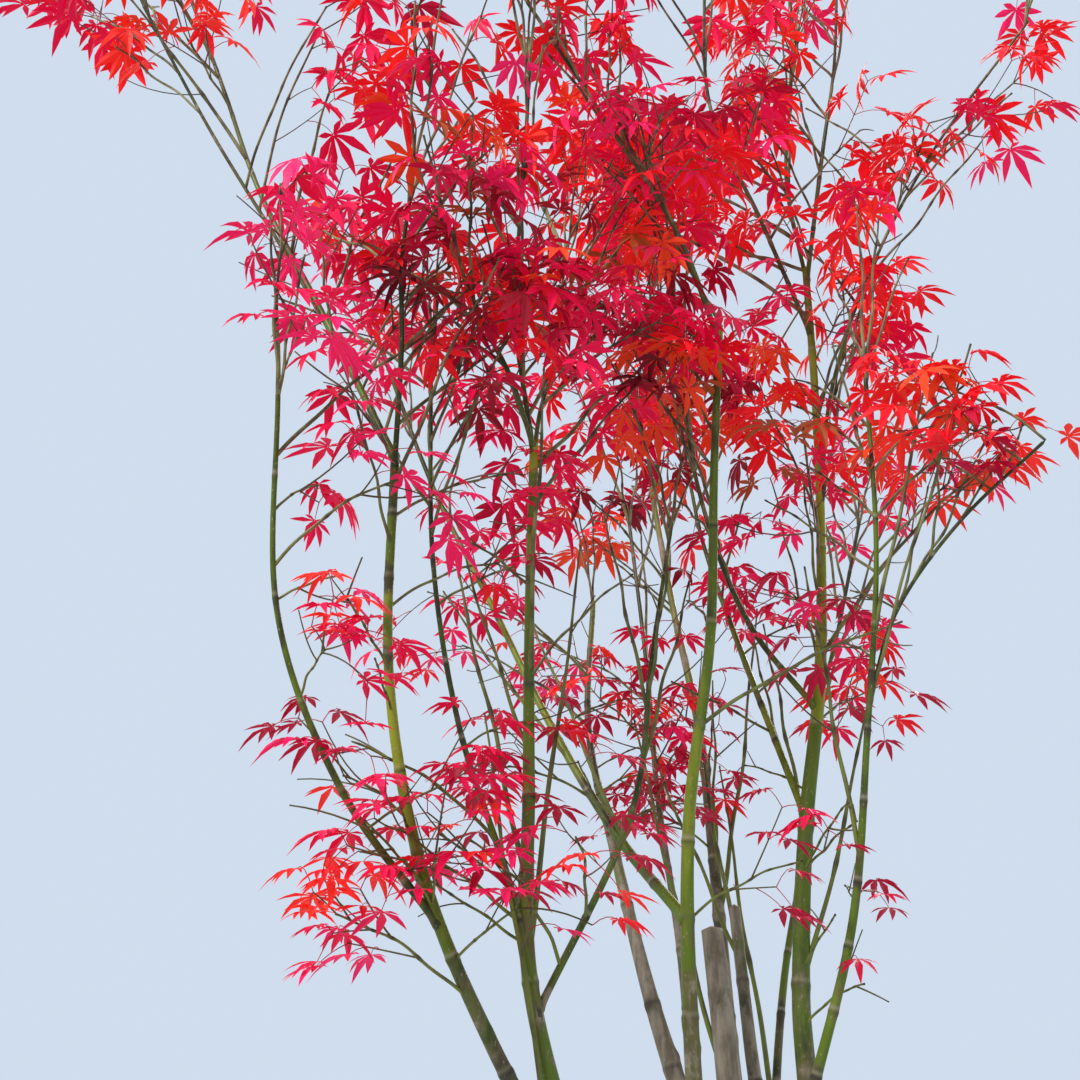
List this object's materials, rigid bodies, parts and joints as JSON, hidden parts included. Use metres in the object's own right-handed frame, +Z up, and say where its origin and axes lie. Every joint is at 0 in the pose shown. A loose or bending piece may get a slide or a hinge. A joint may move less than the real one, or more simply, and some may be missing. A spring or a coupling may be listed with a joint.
{
  "type": "japanese maple tree",
  "caption": "Young red-leaved maple: slim green stems fan out from a short flared trunk under open tiers of drooping, deeply cut leaves.",
  "frame": {"origin": "centre of the flat cut under the trunk, at ground level", "axes": "+Z up along the trunk, front of the clump towards -Y, +X to the right seen from the front"},
  "size_m": [1.308, 0.991, 2.828],
  "materials": {
    "bark_green": "smooth olive-green young bark with darker rings at the nodes",
    "bark_grey": "dull grey-brown older bark, finely fissured, with pale scars",
    "leaves_crimson": "thin matte leaf, crimson",
    "leaves_scarlet": "thin matte leaf, scarlet",
    "leaves_orange": "thin matte leaf, orange-red",
    "leaves_maroon": "thin matte leaf, dark maroon"
  },
  "bodies": {
    "root": {"back_right_stem": "bark_green", "back_stem": "bark_grey", "back_top_limb": "bark_green", "centre_stem": "bark_green", "centre_top_limb": "bark_green", "far_left_stem": "bark_green", "foliage_back_centre": "leaves_maroon", "foliage_back_left": "leaves_crimson", "foliage_back_low_left": "leaves_crimson", "foliage_back_right": "leaves_crimson", "foliage_back_top": "leaves_scarlet", "foliage_centre": "leaves_maroon", "foliage_centre_left": "leaves_maroon", "foliage_centre_right": "leaves_maroon", "foliage_far_right_tips": "leaves_scarlet", "foliage_foot_right": "leaves_crimson", "foliage_heart": "leaves_maroon", "foliage_low_centre": "leaves_crimson", "foliage_low_centre_left": "leaves_crimson", "foliage_low_front": "leaves_crimson", "foliage_low_heart": "leaves_crimson", "foliage_low_left": "leaves_crimson", "foliage_low_right": "leaves_crimson", "foliage_mid_left": "leaves_crimson", "foliage_mid_right": "leaves_crimson", "foliage_right_reach": "leaves_orange", "foliage_shoulder_right": "leaves_scarlet", "foliage_tips_centre": "leaves_scarlet", "foliage_tips_far_left": "leaves_scarlet", "foliage_tips_left": "leaves_crimson", "foliage_tips_right": "leaves_scarlet", "foliage_upper_centre": "leaves_crimson", "foliage_upper_left": "leaves_crimson", "foliage_upper_right": "leaves_crimson", "green_crossing_limb": "bark_green", "grey_limb": "bark_grey", "grey_limb_prong": "bark_grey", "left_leader": "bark_green", "left_stem": "bark_green", "left_top_shoot": "bark_green", "long_diagonal_limb": "bark_green", "low_right_limb": "bark_green", "lower_diagonal_limb": "bark_green", "middle_diagonal_limb": "bark_green", "near_left_shoot": "bark_green", "near_right_shoot": "bark_green", "near_stem": "bark_green", "near_top_shoot": "bark_green", "old_leader_stub": "bark_grey", "outer_right_stem": "bark_green", "pruned_stub": "bark_grey", "right_reaching_limb": "bark_green", "right_stem": "bark_green", "right_top_left_limb": "bark_green", "right_top_right_limb": "bark_green", "slender_stem": "bark_green", "trunk": "bark_grey", "upper_diagonal_limb": "bark_green", "upper_left_limb": "bark_green", "upper_left_shoot": "bark_green"}
  },
  "joints": []
}
